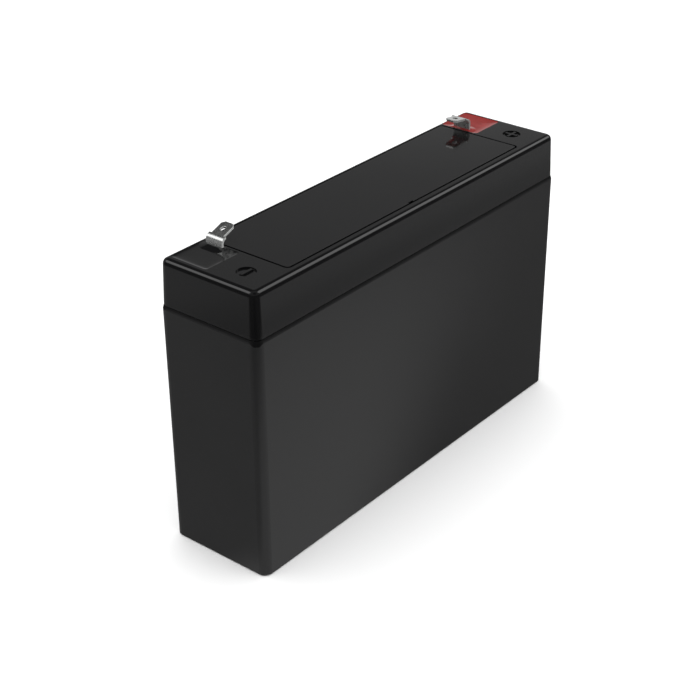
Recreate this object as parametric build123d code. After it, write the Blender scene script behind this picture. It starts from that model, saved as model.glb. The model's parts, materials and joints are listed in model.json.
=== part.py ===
"""Slim sealed lead acid battery with three cells in a row, in millimetres.

+X runs along the case from the negative end to the positive end, -Y is the front face and +Z is up.
The origin is the centre of the underside, where the battery stands.
"""

import os
from math import atan, cos, degrees, radians, sin

from build123d import *

# Case outside
case_length = 151.0
case_width = 38.0
case_height = 80.4
case_draft = 0.15
case_corner_radius = 3.0
base_edge_chamfer = 0.4
rim_slope_height = 1.0

# Case inside
wall = 2.4
floor_thickness = 2.4
cell_count = 3
cell_corner_radius = 1.0
partition_thickness = 1.8
floor_rib_height = 2.0
floor_rib_width = 1.6
floor_rib_spacing = 24.0

# Glued joint of case and lid: a tongue on the case in a groove of the lid
tongue_height = 3.0
tongue_thickness = 1.0
joint_clearance = 0.1
groove_lip = 1.1
partition_groove_reach = 2.0

# Lid
lid_height = 14.8
lid_inset = 0.3
lid_draft = 0.6
lid_corner_radius = 2.8
lid_edge_radius = 1.8
lid_foot_chamfer = 0.25
lid_roof = 2.2
pan_wall = 1.8
pan_floor = 1.8

# Cover plate over the valve chamber
cover_front_margin = 3.4
cover_back_margin = 2.0
cover_thickness = 1.6
cover_corner_radius = 1.2
cover_gap = 0.3
cover_ledge = 2.4
vent_notch_width = 2.4
vent_notch_depth = 0.7

# Valve chamber and its rubber valve caps
chamber_depth = 5.4
valve_from_chamber_end = 10.8
vent_post_diameter = 6.8
vent_post_height = 4.0
vent_bore = 3.0
cap_clearance = 0.1
cap_wall = 1.2
cap_top = 1.1
cap_lift = 0.5
press_pad_size = 5.0

# Terminal pockets, sunk in the lid beside the cover plate
negative_pocket_margin = 2.6
positive_pocket_margin = 1.9
pocket_back_margin = 1.3
pocket_length = 14.0
pocket_width = 14.4
pocket_rib = 0.8
pocket_depth = 7.0
pocket_corner_radius = 1.2
resin_drop = 0.2

# Round recesses for the polarity signs
sign_recess_diameter = 6.0
sign_recess_depth = 0.5
sign_recess_from_end = 8.8
sign_recess_from_front = 11.0

# Terminal tabs, folded from strip
tab_width = 4.75
tab_thickness = 0.8
tab_length = 7.0
tab_shoulder_width = 6.4
tab_bend_radius = 1.2
tab_shoulder_reach = 1.6
tab_hole_diameter = 1.8
tab_hole_from_tip = 2.9
tab_tip_chamfer = 1.0
tab_foot_past_post = 3.3
tab_foot_corner_chamfer = 1.5
negative_tab_wall_gap = 0.4
negative_tab_from_back = 6.6
negative_tab_rise = 2.3
negative_tab_angle = 20.0
positive_tab_wall_gap = 0.9
positive_tab_from_back = 9.0
positive_tab_rise = 3.9
positive_tab_angle = 8.0

# Terminal posts, cast on the end straps
post_diameter = 7.0
post_hole_clearance = 0.1
post_shoulder_height = 2.0

# Plates and glass mat separators
positives_per_cell = 4
positive_plate_thickness = 2.8
mat_thickness = 1.5
pack_clearance = 0.2
plate_end_clearance = 1.0
plate_edge_frame = 2.0
paste_stand = 0.2
mat_overhang = 1.5
mat_fold_chamfer = 0.8
lug_width = 8.0
lug_thickness = 1.6
lug_from_plate_end = 7.1
lug_gap = 3.0

# Cast-on straps, joined through the partitions
strap_drop = 7.0
strap_thickness = 4.0
strap_width = 9.0
strap_end_cover = 1.5
strap_edge_chamfer = 0.8
lug_embed = 2.5
flag_width = 12.0
flag_thickness = 2.6
flag_height = 7.5
flag_corner_chamfer = 2.0
weld_diameter = 6.5
weld_drop = 3.75

# Levels
rim_z = case_height
lid_top_z = rim_z + lid_height
tongue_top_z = rim_z + tongue_height
cover_under_z = lid_top_z - cover_thickness
chamber_floor_z = cover_under_z - chamber_depth
pocket_floor_z = lid_top_z - pocket_depth
resin_top_z = lid_top_z - resin_drop
foot_z = pocket_floor_z + post_shoulder_height
strap_top_z = rim_z - strap_drop
strap_under_z = strap_top_z - strap_thickness
weld_z = strap_top_z + weld_drop
plate_top_z = strap_under_z - lug_gap
mat_bottom_z = floor_thickness + floor_rib_height
plate_bottom_z = mat_bottom_z + mat_thickness
mat_top_z = plate_top_z + mat_overhang

# Inside of the case
inner_length = case_length - 2 * wall
cell_width = case_width - 2 * wall
cell_length = (inner_length - (cell_count - 1) * partition_thickness) / cell_count
cell_pitch = cell_length + partition_thickness
cell_centres = [(i - (cell_count - 1) / 2) * cell_pitch for i in range(cell_count)]
partition_centres = [(a + b) / 2 for a, b in zip(cell_centres, cell_centres[1:])]

# Lid plan, from the ends inwards: pocket, rib, cover plate
lid_length = case_length - 2 * lid_inset
lid_width = case_width - 2 * lid_inset
lid_top_length = lid_length - 2 * lid_draft
lid_top_width = lid_width - 2 * lid_draft
pocket_x = {
    -1: negative_pocket_margin + (pocket_length - lid_top_length) / 2,
    1: (lid_top_length - pocket_length) / 2 - positive_pocket_margin,
}
recess_low_x = pocket_x[-1] + pocket_length / 2 + pocket_rib
recess_high_x = pocket_x[1] - pocket_length / 2 - pocket_rib
recess_length = recess_high_x - recess_low_x
cover_x = (recess_high_x + recess_low_x) / 2
cover_length = recess_length - 2 * cover_gap
cover_front_y = cover_front_margin - lid_top_width / 2
cover_back_y = lid_top_width / 2 - cover_back_margin
cover_width = cover_back_y - cover_front_y
cover_y = (cover_back_y + cover_front_y) / 2
recess_width = cover_width + 2 * cover_gap
chamber_length = recess_length - 2 * cover_ledge
chamber_width = recess_width - 2 * cover_ledge
valve_spacing = (chamber_length - 2 * valve_from_chamber_end) / (cell_count - 1)
pocket_back_y = lid_top_width / 2 - pocket_back_margin
pocket_y = pocket_back_y - pocket_width / 2

# Place of each tab's leg, by side: -1 is the negative end and 1 the positive end
leg_x = {
    -1: pocket_x[-1] + pocket_length / 2 - negative_tab_wall_gap - tab_thickness / 2,
    1: pocket_x[1] - pocket_length / 2 + positive_tab_wall_gap + tab_thickness / 2,
}
leg_y = {
    -1: lid_top_width / 2 - negative_tab_from_back,
    1: lid_top_width / 2 - positive_tab_from_back,
}

# Plate pack, stacked along Y: a negative plate outside, then mat, positive, mat and so on
negatives_per_cell = positives_per_cell + 1
pack_width = cell_width - 2 * pack_clearance
mat_width = positive_plate_thickness + 2 * mat_thickness
negative_plate_thickness = (pack_width - positives_per_cell * mat_width) / negatives_per_cell
stack_pitch = negative_plate_thickness + mat_width
plate_length = cell_length - 2 * plate_end_clearance
lug_x = plate_length / 2 - lug_from_plate_end
post_x = cell_centres[-1] + lug_x
negative_y = [(i - positives_per_cell / 2) * stack_pitch for i in range(negatives_per_cell)]
positive_y = [(i - (positives_per_cell - 1) / 2) * stack_pitch for i in range(positives_per_cell)]


def rounded_block(length, width, low, high, radius):
    """Upright block between two levels, with rounded vertical edges."""
    return extrude(Pos(0, 0, low) * RectangleRounded(length, width, radius), high - low)


def square_block(length, width, low, high):
    """Upright block between two levels, with square edges."""
    return Pos(0, 0, (low + high) / 2) * Box(length, width, high - low)


def drafted_block(length, width, start, height, draft, radius):
    """Rounded block that starts at full size and pulls in by the draft at its far end."""
    direction = 1 if height > 0 else -1
    plane = Plane(origin=(0, 0, start), z_dir=(0, 0, direction))
    angle = degrees(atan(draft / abs(height)))
    return extrude(plane * RectangleRounded(length, width, radius), abs(height), taper=angle)


def container():
    """Moulded case: three cells, floor ribs, and a tongue round the rim and along the partitions."""
    slope_z = rim_z - rim_slope_height
    body = drafted_block(case_length, case_width, slope_z, -slope_z, case_draft, case_corner_radius)
    body = chamfer(body.faces().sort_by(Axis.Z)[0].edges(), base_edge_chamfer)
    body += drafted_block(
        case_length, case_width, slope_z, rim_slope_height, lid_inset, case_corner_radius)
    body += rounded_block(
        inner_length + 2 * tongue_thickness, cell_width + 2 * tongue_thickness,
        rim_z, tongue_top_z, cell_corner_radius + tongue_thickness)
    for x in cell_centres:
        body -= Pos(x, 0, 0) * rounded_block(
            cell_length, cell_width, floor_thickness, tongue_top_z, cell_corner_radius)
        for side in (-1, 1):
            rib = Box(floor_rib_width, cell_width, floor_rib_height)
            rib_z = floor_thickness + floor_rib_height / 2
            body += Pos(x + side * floor_rib_spacing / 2, 0, rib_z) * rib
    for x in partition_centres:
        hole = Rot(0, 90, 0) * Cylinder(weld_diameter / 2, partition_thickness)
        body -= Pos(x, 0, weld_z) * hole
    return body


def tongue_groove():
    """Groove that takes the tongue of the case, all round the lid."""
    outside = rounded_block(
        inner_length + 2 * (tongue_thickness + joint_clearance),
        cell_width + 2 * (tongue_thickness + joint_clearance),
        rim_z, tongue_top_z + joint_clearance,
        cell_corner_radius + tongue_thickness + joint_clearance)
    inside = rounded_block(
        inner_length - 2 * joint_clearance, cell_width - 2 * joint_clearance,
        rim_z, tongue_top_z + joint_clearance, cell_corner_radius)
    return outside - inside


def partition_rail(x):
    """Rail under the lid, down to the height where it grips one partition."""
    rail_width = partition_thickness + 2 * (joint_clearance + groove_lip)
    low = tongue_top_z - partition_groove_reach
    high = chamber_floor_z - pan_floor / 2
    rail = Box(rail_width, cell_width - 2 * joint_clearance, high - low)
    return Pos(x, 0, (low + high) / 2) * rail


def partition_groove(x):
    """Groove for one partition, with wider notches where it meets the long walls in rounded corners."""
    depth = tongue_height + joint_clearance
    groove = Box(partition_thickness + 2 * joint_clearance, cell_width, depth)
    notch_width = partition_thickness + 2 * (cell_corner_radius + joint_clearance)
    notch_length = cell_corner_radius + joint_clearance
    for side in (-1, 1):
        notch_y = side * (cell_width - notch_length) / 2
        groove += Pos(0, notch_y, 0) * Box(notch_width, notch_length, depth)
    return Pos(x, 0, rim_z + depth / 2) * groove


def lid():
    """Moulded lid: chamber with vent posts, terminal pockets, sign recesses and glue grooves."""
    block = drafted_block(lid_length, lid_width, rim_z, lid_height, lid_draft, lid_corner_radius)
    block = fillet(block.faces().sort_by(Axis.Z)[-1].edges(), lid_edge_radius)
    block = chamfer(block.faces().sort_by(Axis.Z)[0].edges(), lid_foot_chamfer)
    roof_z = lid_top_z - lid_roof
    lip_setback = joint_clearance + groove_lip
    body = block - square_block(
        inner_length - 2 * lip_setback, cell_width - 2 * lip_setback, rim_z, roof_z)

    pan = Pos(cover_x, cover_y, 0) * square_block(
        chamber_length + 2 * pan_wall, chamber_width + 2 * pan_wall, chamber_floor_z - pan_floor, roof_z)
    backing = Pos(cover_x, cover_y, 0) * square_block(
        recess_length, recess_width, cover_under_z - lid_roof, roof_z)
    inside = [pan, backing]
    for side in (-1, 1):
        inside.append(Pos(pocket_x[side], pocket_y, 0) * square_block(
            pocket_length + 2 * pan_wall, pocket_width + 2 * pan_wall,
            pocket_floor_z - pan_floor, roof_z))
    for x in partition_centres:
        inside.append(partition_rail(x))
    for piece in inside:
        body += piece & block
    body -= tongue_groove()
    for x in partition_centres:
        body -= partition_groove(x)

    body -= Pos(cover_x, cover_y, 0) * rounded_block(
        recess_length, recess_width, cover_under_z, lid_top_z, cover_corner_radius + cover_gap)
    body -= Pos(cover_x, cover_y, 0) * square_block(
        chamber_length, chamber_width, chamber_floor_z, cover_under_z)
    for x in valve_places():
        post_z = chamber_floor_z + vent_post_height / 2
        body += Pos(x, cover_y, post_z) * Cylinder(vent_post_diameter / 2, vent_post_height)
        bore_length = pan_floor + vent_post_height
        bore_z = chamber_floor_z - pan_floor + bore_length / 2
        body -= Pos(x, cover_y, bore_z) * Cylinder(vent_bore / 2, bore_length)
    for side in (-1, 1):
        body -= pocket_space(side, lid_top_z)
        hole = Cylinder(post_diameter / 2 + post_hole_clearance, pan_floor)
        body -= Pos(side * post_x, leg_y[side], pocket_floor_z - pan_floor / 2) * hole
        recess_x = side * (lid_top_length / 2 - sign_recess_from_end)
        recess_y = sign_recess_from_front - lid_top_width / 2
        recess = Cylinder(sign_recess_diameter / 2, sign_recess_depth)
        body -= Pos(recess_x, recess_y, lid_top_z - sign_recess_depth / 2) * recess
    return body


def valve_places():
    """Places of the valves along the chamber, one over each cell."""
    return [cover_x + (i - (cell_count - 1) / 2) * valve_spacing for i in range(cell_count)]


def pocket_space(side, top_z):
    """Space of one terminal pocket, filled up to a level."""
    space = rounded_block(pocket_length, pocket_width, pocket_floor_z, top_z, pocket_corner_radius)
    return Pos(pocket_x[side], pocket_y, 0) * space


def valve_cover_plate():
    """Flat plate that closes the valve chamber and holds the valve caps down."""
    plate = rounded_block(cover_length, cover_width, cover_under_z, lid_top_z, cover_corner_radius)
    notch = Box(vent_notch_width, 2 * vent_notch_depth, cover_thickness)
    plate -= Pos(0, -cover_width / 2, cover_under_z + cover_thickness / 2) * notch
    pad_height = chamber_depth - vent_post_height - cap_top
    for x in valve_places():
        pad = Box(press_pad_size, press_pad_size, pad_height)
        plate += Pos(x - cover_x, 0, cover_under_z - pad_height / 2) * pad
    return Pos(cover_x, cover_y, 0) * plate


def valve_cap(x):
    """Soft rubber cap that sits over one vent post and lifts under pressure."""
    bore_radius = vent_post_diameter / 2 + cap_clearance
    skirt = vent_post_height - cap_lift
    low = chamber_floor_z + cap_lift
    height = skirt + cap_top
    cup = Pos(0, 0, low + height / 2) * Cylinder(bore_radius + cap_wall, height)
    cup -= Pos(0, 0, low + skirt / 2) * Cylinder(bore_radius, skirt)
    return Pos(x, cover_y, 0) * cup


def terminal_tab(side, rise, angle):
    """Strip folded twice: a foot on the post, an upright leg and a tab that points to the middle."""
    inward = -side
    x = leg_x[side]
    foot_mid_z = foot_z + tab_thickness / 2
    bend_z = resin_top_z + rise
    lean = radians(angle)
    tip = (x + inward * tab_length * cos(lean), bend_z + tab_length * sin(lean))
    foot_end = side * (post_x + tab_foot_past_post)
    path = FilletPolyline(
        (foot_end, foot_mid_z), (x, foot_mid_z), (x, bend_z), tip, radius=tab_bend_radius)
    strip = extrude(Plane.XZ * trace(path, tab_thickness), tab_shoulder_width / 2, both=True)

    flat = Plane(
        origin=(x, 0, bend_z),
        x_dir=(inward * cos(lean), 0, sin(lean)),
        z_dir=(-inward * sin(lean), 0, cos(lean)))
    cutter_length = tab_length + tab_thickness
    for edge in (-1, 1):
        shoulder = Box(cutter_length, tab_width, 4 * tab_thickness)
        strip -= flat * Pos(tab_shoulder_reach + cutter_length / 2, edge * tab_width, 0) * shoulder
        corner_size = tab_tip_chamfer * 2 ** 0.5
        corner = Rot(0, 0, 45) * Box(corner_size, corner_size, 4 * tab_thickness)
        strip -= flat * Pos(tab_length, edge * tab_width / 2, 0) * corner
    hole = Cylinder(tab_hole_diameter / 2, 4 * tab_thickness)
    strip -= flat * Pos(tab_length - tab_hole_from_tip, 0, 0) * hole

    foot_corners = strip.edges().filter_by(Axis.Z).group_by(Axis.X)[-1 if side > 0 else 0]
    return Pos(0, leg_y[side], 0) * chamfer(foot_corners, tab_foot_corner_chamfer)


def sealing_resin(side, tab, strap):
    """Cast resin that fills a terminal pocket round the tab and the post."""
    return pocket_space(side, resin_top_z) - tab - strap


def plate(x, y, thickness, lug_side):
    """Cast grid with its cured paste standing proud of the frame, and a lug on one side."""
    height = plate_top_z - plate_bottom_z
    mid_z = (plate_top_z + plate_bottom_z) / 2
    frame_thickness = thickness - 2 * paste_stand
    frame = Box(plate_length, frame_thickness, height)
    paste = Box(plate_length - 2 * plate_edge_frame, thickness, height - 2 * plate_edge_frame)
    solid = Pos(0, 0, mid_z) * (frame + paste) + lug(lug_side, min(lug_thickness, frame_thickness))
    return Pos(x, y, 0) * solid


def lug(lug_side, thickness):
    """Lug that reaches from the top frame of a plate up into the strap."""
    low = plate_top_z - plate_edge_frame
    high = strap_under_z + lug_embed
    return Pos(lug_side * lug_x, 0, (low + high) / 2) * Box(lug_width, thickness, high - low)


def separator(x, y):
    """Glass mat folded up round both faces of one positive plate."""
    outer = mat_width / 2
    inner = positive_plate_thickness / 2
    height = mat_top_z - mat_bottom_z
    sheath = Pos(0, 0, mat_bottom_z + height / 2) * Box(plate_length, 2 * outer, height)
    sheath = chamfer(sheath.faces().sort_by(Axis.Z)[0].edges().filter_by(Axis.X), mat_fold_chamfer)
    slot_height = mat_top_z - plate_bottom_z
    slot = Box(plate_length, 2 * inner, slot_height)
    return Pos(x, y, 0) * (sheath - Pos(0, 0, plate_bottom_z + slot_height / 2) * slot)


def strap(x, lug_side, ys, thickness, end_cover):
    """Bar of lead cast over the lugs of one polarity in one cell."""
    length = ys[-1] - ys[0] + thickness + 2 * end_cover
    middle_z = (strap_top_z + strap_under_z) / 2
    bar = Box(strap_width, length, strap_thickness)
    bar = chamfer(bar.faces().sort_by(Axis.Z)[-1].edges().filter_by(Axis.Y), strap_edge_chamfer)
    bar = Pos(lug_side * lug_x, 0, middle_z) * bar
    for y in ys:
        bar -= Pos(0, y, 0) * lug(lug_side, min(lug_thickness, thickness - 2 * paste_stand))
    return Pos(x, 0, 0) * bar


def joining_flag(partition_x, from_x, side):
    """Upright flag beside a partition, with half of the weld through it and a bridge to the strap."""
    face_x = partition_x + side * partition_thickness / 2
    flag_x = face_x + side * flag_thickness / 2
    low = strap_under_z
    high = strap_top_z + flag_height
    flag = Box(flag_thickness, flag_width, high - low)
    flag = chamfer(flag.faces().sort_by(Axis.Z)[-1].edges().filter_by(Axis.X), flag_corner_chamfer)
    flag = Pos(flag_x, 0, (low + high) / 2) * flag
    bridge_length = abs(from_x - flag_x)
    middle_z = (strap_top_z + strap_under_z) / 2
    bridge = Pos((from_x + flag_x) / 2, 0, middle_z) * Box(bridge_length, flag_width, strap_thickness)
    weld = Rot(0, 90, 0) * Cylinder(weld_diameter / 2, partition_thickness / 2)
    return flag + bridge + Pos(partition_x + side * partition_thickness / 4, 0, weld_z) * weld


def terminal_post(side):
    """Round post on an end strap, up through the pocket floor to the foot of the tab."""
    shaft = Cylinder(post_diameter / 2, foot_z - strap_top_z)
    return Pos(side * post_x, leg_y[side], (foot_z + strap_top_z) / 2) * shaft


def cell_straps(index):
    """Negative and positive strap of one cell, each with its flag or terminal post."""
    x = cell_centres[index]
    negative = strap(x, -1, negative_y, negative_plate_thickness, 0)
    positive = strap(x, 1, positive_y, positive_plate_thickness, strap_end_cover)
    negative_x = x - lug_x - strap_width / 2
    positive_x = x + lug_x + strap_width / 2
    if index == 0:
        negative += terminal_post(-1)
    else:
        negative += joining_flag(partition_centres[index - 1], negative_x, 1)
    if index == cell_count - 1:
        positive += terminal_post(1)
    else:
        positive += joining_flag(partition_centres[index], positive_x, -1)
    return negative, positive


def cell_nodes(index):
    """All pieces of one cell, by name."""
    x = cell_centres[index]
    cell = f"cell_{index + 1}"
    negative, positive = cell_straps(index)
    nodes = {f"{cell}_negative_strap": negative, f"{cell}_positive_strap": positive}
    for i, y in enumerate(negative_y):
        nodes[f"{cell}_negative_plate_{i + 1}"] = plate(x, y, negative_plate_thickness, -1)
    for i, y in enumerate(positive_y):
        nodes[f"{cell}_positive_plate_{i + 1}"] = plate(x, y, positive_plate_thickness, 1)
        nodes[f"{cell}_separator_{i + 1}"] = separator(x, y)
    return nodes


def battery():
    """Every piece of the battery, by node name."""
    nodes = {"container": container(), "lid": lid(), "valve_cover_plate": valve_cover_plate()}
    for i, x in enumerate(valve_places()):
        nodes[f"valve_cap_{i + 1}"] = valve_cap(x)
    for i in range(cell_count):
        nodes.update(cell_nodes(i))
    negative_tab = terminal_tab(-1, negative_tab_rise, negative_tab_angle)
    positive_tab = terminal_tab(1, positive_tab_rise, positive_tab_angle)
    nodes["negative_terminal_tab"] = negative_tab
    nodes["positive_terminal_tab"] = positive_tab
    nodes["negative_sealing_resin"] = sealing_resin(-1, negative_tab, nodes["cell_1_negative_strap"])
    nodes["positive_sealing_resin"] = sealing_resin(
        1, positive_tab, nodes[f"cell_{cell_count}_positive_strap"])
    return nodes


os.makedirs("parts", exist_ok=True)
for name, shape in battery().items():
    export_step(shape, f"parts/{name}.step")
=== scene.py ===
"""Looks of a slim sealed lead acid battery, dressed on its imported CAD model.

Everything is in metres in the frame of the CAD model: +X runs from the negative end to the
positive end, -Y is the long front face, +Z is up and the battery stands on z = 0.
"""

import json
import math

import bmesh
import bpy
from bpy.props import FloatProperty, FloatVectorProperty, IntProperty, PointerProperty
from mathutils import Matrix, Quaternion, Vector


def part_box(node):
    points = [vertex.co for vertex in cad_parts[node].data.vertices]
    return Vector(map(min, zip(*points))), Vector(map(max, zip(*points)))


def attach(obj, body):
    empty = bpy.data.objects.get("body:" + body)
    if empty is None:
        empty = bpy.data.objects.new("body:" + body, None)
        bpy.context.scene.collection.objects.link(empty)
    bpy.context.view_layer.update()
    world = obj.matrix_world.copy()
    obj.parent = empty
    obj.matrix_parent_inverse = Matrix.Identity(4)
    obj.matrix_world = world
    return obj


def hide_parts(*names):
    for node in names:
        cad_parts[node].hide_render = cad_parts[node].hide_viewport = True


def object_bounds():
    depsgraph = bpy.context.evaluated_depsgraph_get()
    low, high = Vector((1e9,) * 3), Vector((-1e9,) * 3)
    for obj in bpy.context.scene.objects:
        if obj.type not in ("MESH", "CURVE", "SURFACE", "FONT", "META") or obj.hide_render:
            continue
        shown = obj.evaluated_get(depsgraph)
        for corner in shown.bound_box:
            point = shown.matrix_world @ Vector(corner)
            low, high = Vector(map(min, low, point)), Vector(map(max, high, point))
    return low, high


bl_info = {
    "name": "Sealed lead acid battery",
    "version": (1, 0, 0),
    "blender": (4, 5, 0),
    "location": "3D View > Sidebar > Battery",
    "description": "Finishes, signs, tabs, resin and cell detail of a battery, and its studio",
    "category": "Object",
}

BODY = "root"

# Moulded plastic: flow marks and scuffs in repeats per metre, how much the flow marks change
# colour and gloss, the roughness that wear adds, and the roughness of the painted shade in joints
FLOW_SCALE = 45.0
FLOW_CHANGE = 0.06
SCUFF_SCALE = 900.0
WORN_ROUGHNESS = 0.08
JOINT_SHADE_ROUGHNESS = 0.9

# In metres: worn rim of the plastic parts, how far under its bend a tab's leg turns less
# metallic, and the joint round the cover plate, with the distances from its middle where its
# painted shade fades
WORN_WIDTH = 0.0012
LEG_FADE = 0.0006
COVER_CORNER = 0.0012
COVER_GAP = 0.0003
COVER_GAP_EDGES = (0.0003, 0.00045)

# Painted shade in the seam: its lower and upper edge under the lid, how far in from the case's
# sides the corners begin and end, how much lower it reaches there, and its strength on the
# straight runs
SEAM_SHADE = (0.0007, 0.0004)
CORNER_REACH = (0.003, 0.0015)
CORNER_SHADE = 0.0012
STRAIGHT_SHADE = 0.65

# How finely the tabs are cut: steps of the latch hole and of each bend, segments of the rounded
# edges, and the angles that make an edge a punched rim and a shading edge
HOLE_STEPS = 32
BEND_STEPS = 10
EDGE_SEGMENTS = 2
RIM_ANGLE = 1.0
SHADING_ANGLE = math.radians(15)

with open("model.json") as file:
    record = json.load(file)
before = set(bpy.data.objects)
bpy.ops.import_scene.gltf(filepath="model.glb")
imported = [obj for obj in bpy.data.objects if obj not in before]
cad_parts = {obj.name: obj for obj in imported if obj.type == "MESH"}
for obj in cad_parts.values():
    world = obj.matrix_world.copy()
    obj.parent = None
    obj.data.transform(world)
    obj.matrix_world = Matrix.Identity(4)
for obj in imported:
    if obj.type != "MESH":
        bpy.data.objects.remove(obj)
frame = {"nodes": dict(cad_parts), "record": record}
CAD_LOW, CAD_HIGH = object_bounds()
MOUNTS = {mount["name"]: mount for mount in frame["record"]["mounts"]}


# Sizes and colours that a user would change

def metres(label, text, default, smallest=0.0):
    """Length in metres that is never negative."""
    return FloatProperty(
        name=label, description=text, subtype="DISTANCE", unit="LENGTH",
        default=default, min=smallest)


def rgb(label, text, default):
    """Linear colour."""
    return FloatVectorProperty(
        name=label, description=text, subtype="COLOR", default=default, min=0, max=1)


def degrees(label, text, default):
    """Angle with its default in degrees."""
    return FloatProperty(
        name=label, description=text, subtype="ANGLE", default=math.radians(default))


def watts(label, text, default):
    """Power of a light in watts."""
    return FloatProperty(
        name=label, description=text, subtype="POWER", unit="POWER", default=default, min=0)


def brightness(label, text, default):
    """Brightness of a part of the studio."""
    return FloatProperty(name=label, description=text, default=default, min=0)


class BatteryColours(bpy.types.PropertyGroup):
    """Colours of the finishes."""

    case: rgb("Case", "Satin black of the moulded case", (0.0105, 0.0105, 0.0108))
    lid: rgb("Lid", "Gloss black of the lid and cover plate", (0.003, 0.003, 0.0032))
    black_resin: rgb("Black resin", "Cast resin at the negative end", (0.003, 0.003, 0.0032))
    red_resin: rgb("Red resin", "Cast resin at the positive end", (0.2, 0.018, 0.016))
    tin: rgb("Tin", "Tin plate on the terminal tabs", (0.74, 0.75, 0.74))
    lead: rgb("Lead", "Cast lead of straps and plate frames", (0.3, 0.31, 0.33))
    positive_paste: rgb(
        "Positive paste", "Brown paste of the positive plates", (0.085, 0.045, 0.03))
    negative_paste: rgb("Negative paste", "Grey paste of the negative plates", (0.2, 0.205, 0.21))
    glass_mat: rgb("Glass mat", "White absorbent mats", (0.8, 0.8, 0.78))
    valve_rubber: rgb("Valve rubber", "Soft rubber of the valve caps", (0.02, 0.02, 0.02))
    floor: rgb("Floor", "Pale floor of the studio", (0.95, 0.95, 0.95))


class BatterySigns(bpy.types.PropertyGroup):
    """Raised polarity signs in the round recesses of the lid."""

    arm_length: metres("Arm length", "Length of one bar of a sign", 0.0048, 0.001)
    arm_width: metres("Arm width", "Width of one bar of a sign", 0.0011, 0.0002)
    recess_depth: metres("Recess depth", "Depth of the recess that the bars fill", 0.0005, 0.0001)
    edge_radius: metres("Edge radius", "Rounding of the edges of the bars", 0.00012)
    from_end: metres("From the end", "Sign centre to the end of the lid's top face", 0.0088)
    from_front: metres("From the front", "Sign centre to the front of the lid's top face", 0.011)
    lid_draft: metres(
        "Lid draft", "How far the lid's top pulls in from its foot on each side", 0.0006)


class BatteryTabs(bpy.types.PropertyGroup):
    """Terminal tabs folded from strip."""

    length: metres("Length", "Bend corner to tip", 0.007, 0.001)
    width: metres("Width", "Width that a receptacle slides over", 0.00475, 0.001)
    thickness: metres("Thickness", "Thickness of the strip", 0.0008, 0.0001)
    shoulder_width: metres("Shoulder width", "Width of the leg and the foot", 0.0064, 0.001)
    shoulder_reach: metres("Shoulder reach", "Bend corner to the narrow part", 0.0016)
    bend_radius: metres(
        "Bend radius", "Radius of both bends at the middle of the strip", 0.0017, 0.0001)
    hole_diameter: metres("Hole diameter", "Latch hole", 0.0018, 0.0001)
    hole_from_tip: metres("Hole from tip", "Latch hole centre to the tip", 0.0029, 0.0001)
    tip_chamfer: metres("Tip chamfer", "Cut corners at the tip", 0.001)
    foot_chamfer: metres("Foot chamfer", "Cut corners at the foot", 0.0015)
    edge_radius: metres("Edge radius", "Rounding that the punch leaves on the edges", 0.00012)


class BatteryResin(bpy.types.PropertyGroup):
    """Surface of the cast resin in the terminal pockets."""

    corner_radius: metres("Corner radius", "Corner radius of the pockets", 0.0012)
    wall_climb: metres("Wall climb", "How far the resin creeps up the pocket walls", 0.00023)
    wall_reach: metres("Wall reach", "How far from a wall the creep fades", 0.0014, 0.0001)
    sink: metres("Sink", "How far the middle shrinks below the level at pouring", 0.0001)
    leg_climb: metres("Leg climb", "How far the resin creeps up the leg of a tab", 0.0006)
    leg_reach: metres("Leg reach", "How far from a leg the creep ends", 0.0032, 0.0001)
    rim: metres("Rim", "Most that the resin climbs where it meets a pocket wall", 0.00018)
    rim_slope: FloatProperty(
        name="Rim slope", description="Steepest rise of the resin away from a pocket wall",
        subtype="FACTOR", default=0.35, min=0, max=1)
    cell: metres("Mesh cell", "Side of one cell of the surface mesh", 0.0002, 0.00005)


class BatteryPlates(bpy.types.PropertyGroup):
    """Cast grid that shows through the paste of every plate."""

    columns: IntProperty(
        name="Columns", description="Upright wires of one grid", default=11, min=1)
    rows: IntProperty(
        name="Rows", description="Level wires of one grid", default=13, min=1)
    wire: metres("Wire width", "Width of a grid wire", 0.0008, 0.0001)
    proud: metres("Proud", "How far the wires stand out of the paste", 0.00004)
    border: metres("Border", "Width of the frame round the paste", 0.002, 0.0001)


class BatteryStage(bpy.types.PropertyGroup):
    """Floor, lights and camera."""

    camera_place: FloatVectorProperty(
        name="Camera place", description="Where the camera stands",
        subtype="TRANSLATION", unit="LENGTH", default=(-0.3486, -0.27469, 0.28806))
    camera_azimuth: degrees("Azimuth", "Direction of the camera round the battery", -50.8)
    camera_elevation: degrees("Elevation", "Height of the camera above the horizon", 29.32)
    camera_roll: degrees("Roll", "Turn of the camera about its own axis", -0.4)
    lens: FloatProperty(
        name="Lens", description="Focal length for a 36 mm sensor, in millimetres", default=80.22)
    overhead: watts("Overhead light", "Power of the large soft light above", 4.0)
    front: watts("Front light", "Power of the soft light on the long front face", 1.0)
    room: brightness("Room", "Even light of the room on matt surfaces", 1.3)
    sky: brightness("Sky", "Brightness of the paper backdrop in reflections", 0.28)
    dark: brightness("Dark", "Brightness of the dark studio in reflections", 0.07)
    softbox: brightness("Softbox", "Brightness of the soft boxes in reflections", 2.5)
    # The sheet glows by itself: its brightness paints the floor in reflections
    sheet: brightness("Sheet", "Brightness of the lit sheet in reflections", 0.48)


PROPERTY_GROUPS = {
    "battery_colours": BatteryColours,
    "battery_signs": BatterySigns,
    "battery_tabs": BatteryTabs,
    "battery_resin": BatteryResin,
    "battery_plates": BatteryPlates,
    "battery_stage": BatteryStage,
}


# Small helpers for node trees and meshes

def fill(tree, node, values):
    """Puts values or links on the inputs of a node."""
    for key, value in values.items():
        if isinstance(value, bpy.types.NodeSocket):
            tree.links.new(value, node.inputs[key])
        else:
            node.inputs[key].default_value = value


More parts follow.
